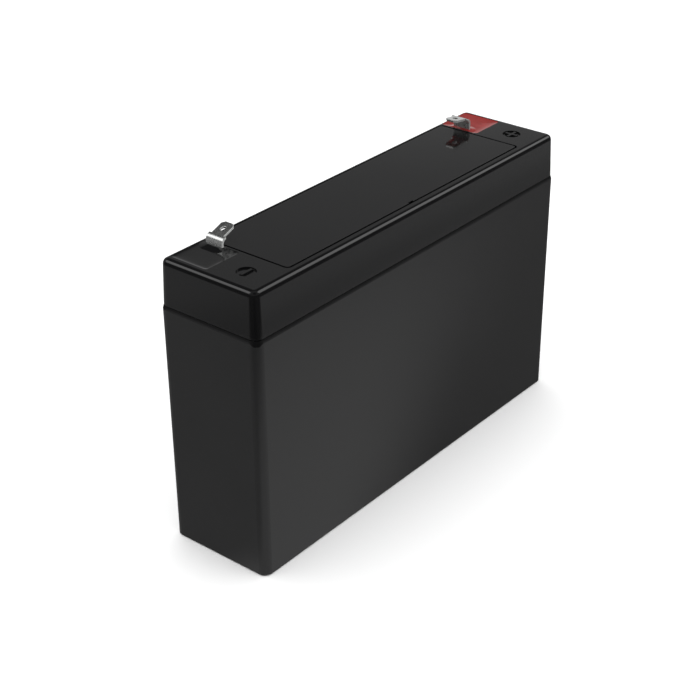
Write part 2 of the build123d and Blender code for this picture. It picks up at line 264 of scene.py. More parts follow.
def add_node(tree, kind, values=None, **settings):
    """New node with its settings and its inputs filled."""
    node = tree.nodes.new(kind)
    for name, value in settings.items():
        setattr(node, name, value)
    fill(tree, node, values or {})
    return node


def result(tree, kind, values=None, **settings):
    """First output of a new node."""
    return add_node(tree, kind, values, **settings).outputs[0]


def calculate(tree, operation, *operands):
    """Output of a Math node."""
    return result(tree, "ShaderNodeMath", dict(enumerate(operands)), operation=operation)


def vector_math(tree, operation, *operands):
    """Vector output of a Vector Math node."""
    return result(tree, "ShaderNodeVectorMath", dict(enumerate(operands)), operation=operation)


def measure_vector(tree, operation, *operands):
    """Number output of a Vector Math node, for a length or a dot product."""
    return vector_math(tree, operation, *operands).node.outputs["Value"]


def combine(tree, **parts):
    """Vector made of its X, Y and Z."""
    return result(tree, "ShaderNodeCombineXYZ", parts)


def components(tree, vector):
    """The three components of a vector."""
    return add_node(tree, "ShaderNodeSeparateXYZ", {0: vector}).outputs


def noise(tree, place, scale, detail=2.0, roughness=0.5):
    """Grey noise whose scale is in repeats per metre."""
    return result(tree, "ShaderNodeTexNoise", {
        "Vector": place, "Scale": scale, "Detail": detail, "Roughness": roughness})


def spread(tree, value, low, high, from_low=0.3, from_high=0.7):
    """A value mapped between two limits, by default from where most of a noise lies."""
    return result(tree, "ShaderNodeMapRange", {
        "Value": value, "From Min": from_low, "From Max": from_high,
        "To Min": low, "To Max": high})


def smooth_share(tree, value, start, end):
    """0 to 1, smooth between two limits."""
    return result(
        tree, "ShaderNodeMapRange", {"Value": value, "From Min": start, "From Max": end},
        interpolation_type="SMOOTHSTEP")


def blend_levels(tree, factor, first, second):
    """Mix of two brightnesses."""
    return result(tree, "ShaderNodeMix", {0: factor, 2: first, 3: second}, data_type="FLOAT")


def blend_colours(tree, factor, first, second):
    """Mix of two colours, each a socket or a shade."""
    return add_node(
        tree, "ShaderNodeMix", {0: factor, 6: first, 7: second}, data_type="RGBA").outputs[2]


def shade(colour, factor):
    """Opaque colour made darker or lighter."""
    return (*(min(1.0, channel * factor) for channel in tuple(colour)[:3]), 1.0)


def mottled(tree, pattern, colour, darkest, lightest):
    """Colour that follows a pattern from a darker to a lighter shade of itself."""
    return blend_colours(
        tree, spread(tree, pattern, 0, 1), shade(colour, darkest), shade(colour, lightest))


def bump(tree, height, distance):
    """Normal of a relief whose height runs from 0 to 1."""
    return result(
        tree, "ShaderNodeBump", {"Height": height, "Distance": distance, "Strength": 1.0})


def box_distance(tree, offset, half):
    """How far a point is from a flat box round the origin.

    Gives the signed distance past each side, the same without what is inside, and its length.
    """
    beyond = vector_math(tree, "SUBTRACT", vector_math(tree, "ABSOLUTE", offset), half)
    outside = vector_math(tree, "MAXIMUM", beyond, (0, 0, 0))
    return beyond, outside, measure_vector(tree, "LENGTH", outside)


def rounded_core(tree, half, radius):
    """Half size of the box between the centres of a rounded rectangle's corners."""
    return vector_math(tree, "SUBTRACT", half, combine(tree, X=radius, Y=radius))


def wall_distance(tree, level, half, radius):
    """Distance to the outline of a rounded rectangle round the origin, positive inside it."""
    beyond, _, reach = box_distance(tree, level, rounded_core(tree, half, radius))
    x, y, _ = components(tree, beyond)
    inside = calculate(tree, "MINIMUM", calculate(tree, "MAXIMUM", x, y), 0.0)
    return calculate(tree, "SUBTRACT", radius, calculate(tree, "ADD", reach, inside))


def fading(tree, distance, reach, height):
    """A height that fades with distance."""
    share = calculate(tree, "DIVIDE", distance, reach)
    left = calculate(tree, "EXPONENT", calculate(tree, "MULTIPLY", share, -1.0))
    return calculate(tree, "MULTIPLY", height, left)


def edge_wear(tree, place, low, high):
    """1 along the edges of a box and 0 a little way off them."""
    width = Vector((WORN_WIDTH, WORN_WIDTH, WORN_WIDTH))
    offset = vector_math(tree, "SUBTRACT", place, (low + high) / 2)
    _, outside, _ = box_distance(tree, offset, (high - low) / 2 - width)
    x, y, z = components(tree, vector_math(tree, "DIVIDE", outside, width))
    pairs = [calculate(tree, "MULTIPLY", a, b) for a, b in ((x, y), (y, z), (z, x))]
    worn = calculate(tree, "MAXIMUM", pairs[0], calculate(tree, "MAXIMUM", pairs[1], pairs[2]))
    return calculate(tree, "MINIMUM", worn, 1.0)


def new_material(name):
    """Material with one Principled shader, and the object coordinates that its patterns read."""
    material = bpy.data.materials.new(name)
    material.use_nodes = True
    tree = material.node_tree
    shader = tree.nodes["Principled BSDF"]
    place = add_node(tree, "ShaderNodeTexCoord").outputs["Object"]
    return material, tree, shader, place


def new_object(name, mesh):
    """Object for a mesh, at the origin."""
    made = bpy.data.objects.new(name, mesh)
    bpy.context.scene.collection.objects.link(made)
    return made


def finish_piece(made, slot_name, *replaced):
    """Rides a finished piece on the body and hides the nodes that it stands for; its slot name is
    not used.
    """
    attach(made, BODY)
    if replaced:
        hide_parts(*replaced)


def dress(node_name, material):
    """Gives a CAD node its finish."""
    node = frame["nodes"][node_name]
    node.data.materials.clear()
    node.data.materials.append(material)


def nodes_like(*words):
    """Names of the CAD nodes that hold all the words."""
    return [name for name in sorted(frame["nodes"]) if all(word in name for word in words)]


def plain_mesh(made):
    """Turns an object's modifiers into its mesh."""
    graph = bpy.context.evaluated_depsgraph_get()
    mesh = bpy.data.meshes.new_from_object(made.evaluated_get(graph), depsgraph=graph)
    made.modifiers.clear()
    made.data = mesh


def new_geometry_tree(name, **inputs):
    """Geometry node tree whose inputs are named by kind, with geometry in and out."""
    tree = bpy.data.node_groups.new(name, "GeometryNodeTree")
    kinds = {"Geometry": ("Geometry",), **inputs, "Material": ("Material",)}
    for kind, labels in kinds.items():
        for label in labels:
            tree.interface.new_socket(label, in_out="INPUT", socket_type=f"NodeSocket{kind}")
    tree.interface.new_socket("Geometry", in_out="OUTPUT", socket_type="NodeSocketGeometry")
    return tree, add_node(tree, "NodeGroupInput").outputs


def end_geometry_tree(tree, given, geometry):
    """Realize Instances and Set Material, then the output."""
    real = result(tree, "GeometryNodeRealizeInstances", {"Geometry": geometry})
    painted = result(
        tree, "GeometryNodeSetMaterial", {"Geometry": real, "Material": given["Material"]})
    add_node(tree, "NodeGroupOutput", {0: painted})
    return tree


def join(tree, *parts):
    """Several geometries as one."""
    joined = add_node(tree, "GeometryNodeJoinGeometry")
    for part in parts:
        tree.links.new(part, joined.inputs[0])
    return joined.outputs[0]


def grow(made, tree, values):
    """Adds a geometry tree to an object, with its inputs set by their identifiers."""
    modifier = made.modifiers.new(tree.name, "NODES")
    modifier.node_group = tree
    for item in tree.interface.items_tree:
        if item.in_out == "INPUT" and item.name in values:
            modifier[item.identifier] = values[item.name]


# Materials

def moulded_plastic(
    name, colour, node_name, roughness, grain_size, grain_depth, worn_shade, joint, joint_shade):
    """Black moulded plastic: fine grain, flow marks, worn edges and painted shade in its joint."""
    low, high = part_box(node_name)
    material, tree, shader, place = new_material(name)
    less, more = 1 - FLOW_CHANGE, 1 + FLOW_CHANGE
    flow = noise(tree, place, FLOW_SCALE, 3.0)
    tint = mottled(tree, flow, colour, less, more)
    scuffs = noise(tree, place, SCUFF_SCALE, 4.0, 0.7)
    rim = edge_wear(tree, place, low, high)
    worn = calculate(tree, "MULTIPLY", rim, spread(tree, scuffs, 0, 1, 0.45, 0.65))
    tint = blend_colours(tree, worn, tint, shade(colour, worn_shade))
    # The joint's shade is painted in: darker colour, higher roughness and no reflection
    shaded_joint = joint(tree, place)
    tint = blend_colours(tree, shaded_joint, tint, shade(colour, joint_shade))
    haze = spread(tree, flow, roughness * less, roughness * more)
    rough = calculate(tree, "ADD", haze, calculate(tree, "MULTIPLY", worn, WORN_ROUGHNESS))
    rough = calculate(tree, "MAXIMUM", rough, calculate(tree, "MULTIPLY", shaded_joint, JOINT_SHADE_ROUGHNESS))
    fill(tree, shader, {
        "Base Color": tint, "Roughness": rough,
        "Specular IOR Level": spread(tree, shaded_joint, 0.5, 0.0, 0.0, 1.0),
        "Normal": bump(tree, noise(tree, place, 1 / grain_size, 2.0, 0.6), grain_depth)})
    return material


def cover_joint(tree, place):
    """1 in the narrow joint between the cover plate and the lid, where shade is painted in."""
    low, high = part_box("valve_cover_plate")
    centre, half = (low + high) / 2, (high - low) / 2
    flat = vector_math(tree, "MULTIPLY", place, (1, 1, 0))
    level = vector_math(tree, "SUBTRACT", flat, (centre.x, centre.y, 0))
    inside = wall_distance(tree, level, (half.x, half.y, 0), COVER_CORNER)
    off = calculate(tree, "ABSOLUTE", calculate(tree, "ADD", inside, COVER_GAP / 2))
    return spread(tree, off, 1.0, 0.0, *COVER_GAP_EDGES)


def rim_joint(tree, place):
    """1 at the top of the case, where the seam's shade is painted in, lower at the corners."""
    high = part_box("container")[1]
    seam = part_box("lid")[0].z
    x, y, height = components(tree, vector_math(tree, "ABSOLUTE", place))
    corner = calculate(tree, "MINIMUM", *(
        spread(tree, value, 0.0, CORNER_SHADE, *(side - inset for inset in CORNER_REACH))
        for value, side in ((x, high.x), (y, high.y))))
    seam_shade = spread(
        tree, calculate(tree, "ADD", height, corner), 0.0, 1.0,
        *(seam - drop for drop in SEAM_SHADE))
    strength = spread(tree, corner, STRAIGHT_SHADE, 1.0, 0.0, CORNER_SHADE)
    return calculate(tree, "MULTIPLY", seam_shade, strength)


def cast_resin(name, colour, gloss):
    """Poured resin: glossy, with a faint clouding under its clear skin."""
    material, tree, shader, place = new_material(name)
    cloud = noise(tree, place, 260.0, 3.0)
    fill(tree, shader, {
        "Base Color": mottled(tree, cloud, colour, 0.85, 1.15),
        "Roughness": spread(tree, cloud, 0.05, 0.09), "Specular IOR Level": gloss,
        "Normal": bump(tree, noise(tree, place, 320.0, 1.0), 0.00002)})
    return material


def tin_plate(name, colour, bend_height, leg_shine):
    """Tin plate with drawn grain and finger marks, bright on the blade, less metallic on the leg.
    """
    material, tree, shader, place = new_material(name)
    stretched = result(tree, "ShaderNodeMapping", {"Vector": place, "Scale": (0.12, 1.0, 0.12)})
    grain = noise(tree, stretched, 9000.0, 2.0, 0.7)
    marks = noise(tree, place, 500.0, 4.0, 0.6)
    height = components(tree, place)[2]
    rough = calculate(tree, "ADD", spread(tree, marks, 0.2, 0.3), spread(tree, grain, 0.0, 0.05))
    fill(tree, shader, {
        "Base Color": mottled(tree, marks, colour, 0.85, 1.0), "Roughness": rough,
        # Less metal on the leg lets its colour show as diffuse light: painted light on the leg
        "Metallic": spread(tree, height, leg_shine, 1.0, bend_height - LEG_FADE, bend_height),
        "Normal": bump(tree, grain, 0.000008)})
    return material


def punched_edge(name, colour):
    """Matt torn metal on the edges that the punch leaves."""
    material, tree, shader, place = new_material(name)
    torn = noise(tree, place, 3000.0, 4.0, 0.7)
    fill(tree, shader, {
        "Base Color": mottled(tree, torn, colour, 0.8, 1.15), "Metallic": 0.2,
        "Roughness": spread(tree, torn, 0.45, 0.65), "Normal": bump(tree, torn, 0.00001)})
    return material


def cast_lead(colour):
    """Dull cast lead with a bluish skin."""
    material, tree, shader, place = new_material("cast_lead")
    skin = noise(tree, place, 700.0, 4.0, 0.65)
    fill(tree, shader, {
        "Base Color": mottled(tree, skin, colour, 0.7, 1.2), "Metallic": 0.85,
        "Roughness": spread(tree, skin, 0.4, 0.62), "Normal": bump(tree, skin, 0.00005)})
    return material


def cured_paste(name, colour):
    """Porous cured paste with fine cracks."""
    material, tree, shader, place = new_material(name)
    cracks = result(
        tree, "ShaderNodeTexVoronoi", {"Vector": place, "Scale": 420.0},
        feature="DISTANCE_TO_EDGE")
    grain = noise(tree, place, 2600.0, 4.0, 0.7)
    clean = spread(tree, cracks, 0.0, 1.0, 0.0, 0.05)
    tint = mottled(tree, grain, colour, 0.75, 1.25)
    fill(tree, shader, {
        "Base Color": blend_colours(tree, clean, shade(colour, 0.5), tint),
        "Roughness": spread(tree, grain, 0.75, 0.95),
        "Normal": bump(tree, calculate(tree, "ADD", grain, clean), 0.00006)})
    return material


def glass_fibre_mat(colour):
    """White felt of crossed fine fibres."""
    material, tree, shader, place = new_material("glass_fibre_mat")
    layers = []
    for turn in (0.0, 0.7, 1.5, 2.3):
        fibres = result(
            tree, "ShaderNodeMapping",
            {"Vector": place, "Rotation": (0.0, turn, 0.0), "Scale": (0.08, 1.0, 1.0)})
        layers.append(noise(tree, fibres, 6000.0, 2.0, 0.6))
    felt = layers[0]
    for layer in layers[1:]:
        felt = calculate(tree, "MAXIMUM", felt, layer)
    tint = blend_colours(
        tree, spread(tree, felt, 0, 1, 0.5, 0.75), shade(colour, 0.8), shade(colour, 1.05))
    fill(tree, shader, {
        "Base Color": tint, "Roughness": 0.9, "Sheen Weight": 0.2,
        "Normal": bump(tree, felt, 0.00008)})
    return material


def soft_rubber(colour):
    """Matt rubber with a powdery bloom."""
    material, tree, shader, place = new_material("soft_rubber")
    bloom = noise(tree, place, 600.0, 4.0)
    fill(tree, shader, {
        "Base Color": mottled(tree, bloom, colour, 1.0, 2.0),
        "Roughness": spread(tree, bloom, 0.6, 0.8),
        "Normal": bump(tree, noise(tree, place, 5000.0), 0.00001)})
    return material


# Pieces

class BATTERY_OT_case(bpy.types.Operator):
    """Finish the moulded case, the lid and the cover plate"""

    bl_idname = "battery.case"
    bl_label = "Finish case and lid"

    def execute(self, context):
        colours = context.scene.battery_colours
        # The case's seam is painted darker and without gloss as painted shade, most at the corners
        dress("container", moulded_plastic(
            "satin_case", colours.case, "container", roughness=0.3, grain_size=0.0003,
            grain_depth=0.000012, worn_shade=1.5, joint=rim_joint, joint_shade=0.4))
        dress("lid", moulded_plastic(
            "gloss_lid", colours.lid, "lid", roughness=0.1, grain_size=0.0008,
            grain_depth=0.000004, worn_shade=2.5, joint=cover_joint, joint_shade=1.0))
        dress("valve_cover_plate", moulded_plastic(
            "gloss_cover", colours.lid, "valve_cover_plate", roughness=0.09, grain_size=0.0008,
            grain_depth=0.000004, worn_shade=2.0, joint=cover_joint, joint_shade=1.0))
        return {"FINISHED"}


def sign_tree():
    """Geometry tree that crosses one or more raised bars and joins them into one form."""
    tree, given = new_geometry_tree(
        "Raised sign", Int=("Arms",), Float=("Arm length", "Arm width", "Height"),
        Vector=("Centre",))
    size = combine(tree, X=given["Arm length"], Y=given["Arm width"], Z=given["Height"])
    bar = result(tree, "GeometryNodeMeshCube", {"Size": size})
    starts = result(tree, "GeometryNodePoints", {"Count": given["Arms"]})
    order = result(tree, "GeometryNodeInputIndex")
    turn = combine(tree, Z=calculate(tree, "MULTIPLY", order, math.pi / 2))
    placed = result(tree, "GeometryNodeInstanceOnPoints", {
        "Points": starts, "Instance": bar, "Rotation": turn})
    real = result(tree, "GeometryNodeRealizeInstances", {"Geometry": placed})
    joined = result(
        tree, "GeometryNodeMeshBoolean", {"Mesh 2": real, "Self Intersection": True},
        operation="UNION", solver="EXACT")
    moved = result(tree, "GeometryNodeTransform", {
        "Geometry": joined, "Translation": given["Centre"]})
    return end_geometry_tree(tree, given, moved)


class BATTERY_OT_signs(bpy.types.Operator):
    """Raise the minus and the plus in the round recesses of the lid"""

    bl_idname = "battery.signs"
    bl_label = "Raise polarity signs"

    def execute(self, context):
        signs = context.scene.battery_signs
        low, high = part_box("lid")
        material = frame["nodes"]["lid"].data.materials[0]
        tree = sign_tree()
        across = low.y + signs.lid_draft + signs.from_front
        along = high.x - signs.lid_draft - signs.from_end
        for name, end, arms in (("minus_sign", -1, 1), ("plus_sign", 1, 2)):
            made = new_object(name, bpy.data.meshes.new(name))
            grow(made, tree, {
                "Arms": arms, "Arm length": signs.arm_length, "Arm width": signs.arm_width,
                "Height": signs.recess_depth, "Material": material,
                "Centre": (end * along, across, high.z - signs.recess_depth / 2)})
            rounding = made.modifiers.new("Edges", "BEVEL")
            rounding.width = signs.edge_radius
            rounding.segments = EDGE_SEGMENTS
            plain_mesh(made)
            finish_piece(made, "lid_plastic")
        return {"FINISHED"}


def bend_corner(pole, tabs):
    """Where the leg of a tab turns into its blade."""
    mount = MOUNTS[f"{pole}_tab"]
    return Vector(mount["pos_m"]) - Vector(mount["axis"]) * tabs.length


def tab_outline(tabs, bend_start, tip):
    """Flat pattern of a tab, as (along, across) points on one side of its middle line."""
    shoulder = bend_start + tabs.shoulder_reach
    half, wide = tabs.width / 2, tabs.shoulder_width / 2
    return [
        (0.0, wide - tabs.foot_chamfer),
        (tabs.foot_chamfer, wide),
        (shoulder, wide),
        (shoulder, half),
        (tip - tabs.tip_chamfer, half),
        (tip, half - tabs.tip_chamfer),
    ]


def flat_blank(tabs, bend_start, tip):
    """Flat punched blank with its latch hole, from the end of its foot to its tip."""
    side = tab_outline(tabs, bend_start, tip)
    outline = side + [(along, -across) for along, across in reversed(side)]
    blank = bmesh.new()
    edges = []
    hole = [
        (tip - tabs.hole_from_tip + math.cos(angle) * tabs.hole_diameter / 2,
         math.sin(angle) * tabs.hole_diameter / 2)
        for angle in (2 * math.pi * i / HOLE_STEPS for i in range(HOLE_STEPS))
    ]
    for loop in (outline, hole):
        corners = [blank.verts.new((along, across, -tabs.thickness / 2)) for along, across in loop]
        edges += [blank.edges.new(pair) for pair in zip(corners, corners[1:] + corners[:1])]
    bmesh.ops.triangle_fill(blank, use_beauty=True, use_dissolve=True, edges=edges)
    bmesh.ops.recalc_face_normals(blank, faces=blank.faces)
    raised = bmesh.ops.extrude_face_region(blank, geom=list(blank.faces))
    upper = [part for part in raised["geom"] if isinstance(part, bmesh.types.BMVert)]
    bmesh.ops.translate(blank, verts=upper, vec=(0, 0, tabs.thickness))
    bmesh.ops.recalc_face_normals(blank, faces=blank.faces)
    return blank


def axes(heading):
    """Unit vectors along a heading in the plane of the bends and square to it."""
    return (
        Vector((math.cos(heading), math.sin(heading))),
        Vector((-math.sin(heading), math.cos(heading))))


def fold(point, plan):
    """Place of a blank's point after the strip is bent, in the plane of the bends."""
    for start, _, corner, heading, turn, radius in reversed(plan):
        if point.x >= start:
            break
    along, up = axes(heading)
    if turn == 0:
        return corner + along * (point.x - start) + up * point.z
    reach = math.copysign(radius, turn)
    _, up_here = axes(heading + (point.x - start) / reach)
    return corner + up * reach + up_here * (point.z - reach)


def fold_plan(foot_length, leg_height, tab_length, lean, radius):
    """Straight runs and bends of foot, leg and tab, from the foot's end and heading along +x."""
    turns = (math.pi / 2, lean - math.pi / 2)
    runs = (foot_length, leg_height, tab_length)
    trims = [radius * math.tan(abs(turn) / 2) for turn in turns]
    plan, position, place, heading = [], 0.0, Vector((0.0, 0.0)), 0.0
    for index, run in enumerate(runs):
        straight = run - sum(trims[max(0, index - 1):index + 1])
        plan.append((position, position + straight, place, heading, 0, radius))
        along, up = axes(heading)
        place = place + along * straight
        position += straight
        if index < len(turns):
            turn = turns[index]
            arc = radius * abs(turn)
            plan.append((position, position + arc, place, heading, turn, radius))
            reach = math.copysign(radius, turn)
            heading += turn
            place = place + up * reach - axes(heading)[1] * reach
            position += arc
    return plan


def folded_tab(pole, tabs):
    """Terminal tab of one pole, folded from its flat blank."""
    low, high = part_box(f"{pole}_terminal_tab")
    heading = Vector(MOUNTS[f"{pole}_tab"]["axis"])
    inward = 1 if heading.x > 0 else -1
    bend = bend_corner(pole, tabs)
    foot_x = low.x if inward > 0 else high.x
    foot_z = low.z + tabs.thickness / 2
    lean = math.asin(heading.z)
    plan = fold_plan(abs(bend.x - foot_x), bend.z - foot_z, tabs.length, lean, tabs.bend_radius)
    # The blade is measured on the flat strip from the corner that its bend rounds off
    blade_start = plan[3][1] - tabs.bend_radius * math.tan((math.pi / 2 - lean) / 2)
    blank = flat_blank(tabs, blade_start, plan[-1][1])
    for start, end, _, _, turn, _ in plan:
        if turn:
            for i in range(BEND_STEPS + 1):
                bmesh.ops.bisect_plane(
                    blank, geom=blank.verts[:] + blank.edges[:] + blank.faces[:],
                    plane_co=(start + (end - start) * i / BEND_STEPS, 0, 0), plane_no=(1, 0, 0))
    rims = [
        edge for edge in blank.edges if edge.is_manifold and edge.calc_face_angle() > RIM_ANGLE]
    bmesh.ops.bevel(
        blank, geom=rims, offset=tabs.edge_radius, segments=EDGE_SEGMENTS, affect="EDGES",
        profile=0.5)
    origin = Vector((foot_x, bend.y, foot_z))
    for vert in blank.verts:
        bent = fold(vert.co, plan)
        vert.co = origin + Vector((inward * bent.x, vert.co.y, bent.y))
    bmesh.ops.recalc_face_normals(blank, faces=blank.faces)
    mesh = bpy.data.meshes.new(f"{pole}_tab_folded")
    blank.to_mesh(mesh)
    blank.free()
    mesh.shade_smooth()
    mesh.set_sharp_from_angle(angle=SHADING_ANGLE)
    return new_object(mesh.name, mesh)


class BATTERY_OT_tabs(bpy.types.Operator):
    """Fold the two terminal tabs"""

    bl_idname = "battery.tabs"
    bl_label = "Fold terminal tabs"

    def execute(self, context):
        tabs = context.scene.battery_tabs
        tin = context.scene.battery_colours.tin
        # Both tabs are one tin: each tab's edge shade is painted shade on its punched edges and
        # its leg shine painted light on its leg, for how the light falls on that tab
        for pole, edge_shade, leg_shine in (("negative", 0.8, 0.74), ("positive", 0.4, 0.86)):
            made = folded_tab(pole, tabs)
            bend_height = bend_corner(pole, tabs).z
            for material in (
                tin_plate(f"{pole}_tin_plate", tin, bend_height, leg_shine),
                punched_edge(f"{pole}_punched_edge", shade(tin, edge_shade)),
            ):
                made.data.materials.append(material)
            # The punched edges are the faces that look along Y
            for face in made.data.polygons:
                face.material_index = int(abs(face.normal.y) > 0.5)
            finish_piece(made, "tinned_brass", f"{pole}_terminal_tab")
        return {"FINISHED"}


def resin_tree():
    """Geometry tree of a poured block whose surface creeps up the walls and the leg of the tab."""
    tree, given = new_geometry_tree(
        "Poured resin",
        Vector=("Half size", "Base centre", "Cells", "Leg centre", "Leg half size"),
        Float=("Corner radius", "Depth", "Wall climb", "Wall reach", "Leg climb", "Leg reach",
               "Sink", "Rim", "Rim slope"))
    size = vector_math(tree, "ADD", given["Half size"], given["Half size"])
    length, width, _ = components(tree, size)
    columns, rows, _ = components(tree, given["Cells"])
    flat = result(tree, "GeometryNodeMeshGrid", {
        "Size X": length, "Size Y": width, "Vertices X": columns, "Vertices Y": rows})

    # The grid's square corners are drawn in to the pocket's rounded ones
    core = rounded_core(tree, given["Half size"], given["Corner radius"])
    place = result(tree, "GeometryNodeInputPosition")
    _, outside, reach = box_distance(tree, place, core)
    x, y, _ = components(tree, outside)
    rounding = calculate(
        tree, "DIVIDE", calculate(tree, "MAXIMUM", x, y), calculate(tree, "MAXIMUM", reach, 1e-9))
    drawn_in = result(
        tree, "ShaderNodeVectorMath", {0: outside, "Scale": rounding}, operation="SCALE")
    kept = vector_math(tree, "MINIMUM", vector_math(tree, "ABSOLUTE", place), core)
    corner = vector_math(
        tree, "MULTIPLY", vector_math(tree, "SIGN", place),
        vector_math(tree, "ADD", kept, drawn_in))
    rounded = result(tree, "GeometryNodeSetPosition", {"Geometry": flat, "Position": corner})
    block = result(tree, "GeometryNodeExtrudeMesh", {
        "Mesh": rounded, "Offset": combine(tree, Z=given["Depth"]), "Offset Scale": 1.0,
        "Individual": False})

    # The top creeps up the walls and the leg, sinks between them and stays low at the rim
    height = components(tree, place)[2]
    upper = calculate(
        tree, "GREATER_THAN", height, calculate(tree, "MULTIPLY", given["Depth"], 0.5))
    level = vector_math(tree, "MULTIPLY", place, (1, 1, 0))
    to_wall = wall_distance(tree, level, given["Half size"], given["Corner radius"])
    from_leg = vector_math(tree, "SUBTRACT", level, given["Leg centre"])
    _, _, to_leg = box_distance(tree, from_leg, given["Leg half size"])
    lift = calculate(
        tree, "ADD", fading(tree, to_wall, given["Wall reach"], given["Wall climb"]),
        spread(tree, to_leg, given["Leg climb"], 0.0, 0.0, given["Leg reach"]))
    lift = calculate(
        tree, "MINIMUM", calculate(tree, "SUBTRACT", lift, given["Sink"]),
        calculate(tree, "MULTIPLY_ADD", to_wall, given["Rim slope"], given["Rim"]))
    surface = result(tree, "GeometryNodeSetPosition", {
        "Geometry": block, "Selection": upper, "Offset": combine(tree, Z=lift)})

    # The underside closes the block
    under = result(tree, "GeometryNodeFlipFaces", {"Mesh": rounded})
    closed = result(tree, "GeometryNodeMergeByDistance", {
        "Geometry": join(tree, under, surface), "Distance": 1e-6})
    facing = components(tree, result(tree, "GeometryNodeInputNormal"))[2]
    smooth = result(tree, "GeometryNodeSetShadeSmooth", {
        "Geometry": closed, "Selection": calculate(tree, "GREATER_THAN", facing, 0.2)})
    moved = result(tree, "GeometryNodeTransform", {
        "Geometry": smooth, "Translation": given["Base centre"]})
    return end_geometry_tree(tree, given, moved)


class BATTERY_OT_resin(bpy.types.Operator):
    """Pour the resin round the tabs"""

    bl_idname = "battery.resin"
    bl_label = "Pour terminal resin"

    def execute(self, context):
        resin = context.scene.battery_resin
        tabs = context.scene.battery_tabs
        colours = context.scene.battery_colours
        tree = resin_tree()
        for pole, shade_name, colour, gloss in (
            ("negative", "black", colours.black_resin, 0.5),
            ("positive", "red", colours.red_resin, 0.26),
        ):
            node_name = f"{pole}_sealing_resin"
            low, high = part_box(node_name)
            centre, half = (low + high) / 2, (high - low) / 2
            leg = bend_corner(pole, tabs) - centre
            made = new_object(f"{pole}_resin_poured", bpy.data.meshes.new(node_name))
            grow(made, tree, {
                "Half size": (half.x, half.y, 0), "Corner radius": resin.corner_radius,
                "Depth": high.z - low.z, "Base centre": (centre.x, centre.y, low.z),
                "Cells": (round(2 * half.x / resin.cell), round(2 * half.y / resin.cell), 0),
                "Wall climb": resin.wall_climb, "Wall reach": resin.wall_reach,
                "Leg centre": (leg.x, leg.y, 0),
                "Leg half size": (tabs.thickness / 2, tabs.shoulder_width / 4, 0),
                "Leg climb": resin.leg_climb, "Leg reach": resin.leg_reach,
                "Sink": resin.sink, "Rim": resin.rim, "Rim slope": resin.rim_slope,
                "Material": cast_resin(f"{shade_name}_resin", colour, gloss)})
            plain_mesh(made)
            finish_piece(made, f"{shade_name}_resin", node_name)
        return {"FINISHED"}


def grid_tree():
    """Geometry tree that lays crossed wires on every plate, one plate to a point."""
    tree, given = new_geometry_tree(
        "Cast grid", Float=("Length", "Height", "Wire"), Int=("Columns", "Rows"))
    wires = []
    for count, run, across, turn in (
        ("Columns", "Length", "Height", 0.0), ("Rows", "Height", "Length", math.pi / 2),
    ):
        # One metre thick here, and scaled to each plate's thickness where it is placed
        size = combine(tree, X=given["Wire"], Y=1.0, Z=given[across])
        wire = result(tree, "GeometryNodeMeshCube", {"Size": size})
        spacing = calculate(tree, "DIVIDE", given[run], calculate(tree, "ADD", given[count], 1.0))
        first = calculate(tree, "SUBTRACT", spacing, calculate(tree, "MULTIPLY", given[run], 0.5))
        line = result(tree, "GeometryNodeMeshLine", {
            "Count": given[count], "Start Location": combine(tree, X=first),
            "Offset": combine(tree, X=spacing)})
        row = result(tree, "GeometryNodeInstanceOnPoints", {"Points": line, "Instance": wire})
        wires.append(result(tree, "GeometryNodeTransform", {
            "Geometry": row, "Rotation": (0.0, turn, 0.0)}))
    thickness = result(
        tree, "GeometryNodeInputNamedAttribute", {"Name": "thickness"}, data_type="FLOAT")
    placed = result(tree, "GeometryNodeInstanceOnPoints", {
        "Points": given["Geometry"], "Instance": join(tree, *wires),
        "Scale": combine(tree, X=1.0, Y=thickness, Z=1.0)})
    return end_geometry_tree(tree, given, placed)


class BATTERY_OT_cells(bpy.types.Operator):
    """Finish plates, mats, straps and valve caps, and lay the cast grids on the plates"""

    bl_idname = "battery.cells"
    bl_label = "Finish cells"

    def execute(self, context):
        colours = context.scene.battery_colours
        plates = context.scene.battery_plates
        lead = cast_lead(colours.lead)
        finishes = {
            "_strap": lead,
            "positive_plate": cured_paste("positive_paste", colours.positive_paste),
            "negative_plate": cured_paste("negative_paste", colours.negative_paste),
            "separator": glass_fibre_mat(colours.glass_mat),
            "valve_cap": soft_rubber(colours.valve_rubber),
        }
        for word, material in finishes.items():
            for node_name in nodes_like(word):
                dress(node_name, material)
        tree = grid_tree()
        for cell in sorted({name[:len("cell_1")] for name in nodes_like("cell_")}):
            mat_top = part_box(nodes_like(cell, "separator")[0])[1].z
            for pole in ("negative", "positive"):
                boxes = [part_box(name) for name in nodes_like(cell, f"{pole}_plate")]
                self.lay_grids(f"{cell}_{pole}_grid_wires", boxes, mat_top, tree, lead, plates)
        return {"FINISHED"}

    def lay_grids(self, name, boxes, mat_top, tree, material, plates):
        """One piece with the grid wires of the plates of one pole in one cell."""
        low, high = boxes[0]
        top = min(high.z, mat_top)
        points = [((a.x + b.x) / 2, (a.y + b.y) / 2, (low.z + top) / 2) for a, b in boxes]
        mesh = bpy.data.meshes.new(name)
        mesh.from_pydata(points, [], [])
        thick = mesh.attributes.new("thickness", "FLOAT", "POINT")
        for value, (a, b) in zip(thick.data, boxes):
            value.value = b.y - a.y + 2 * plates.proud
        made = new_object(name, mesh)
        grow(made, tree, {
            "Length": high.x - low.x - 2 * plates.border,
            "Height": top - low.z - 2 * plates.border,
            "Wire": plates.wire, "Columns": plates.columns, "Rows": plates.rows,
            "Material": material})
        plain_mesh(made)
        finish_piece(made, "lead")


# Studio

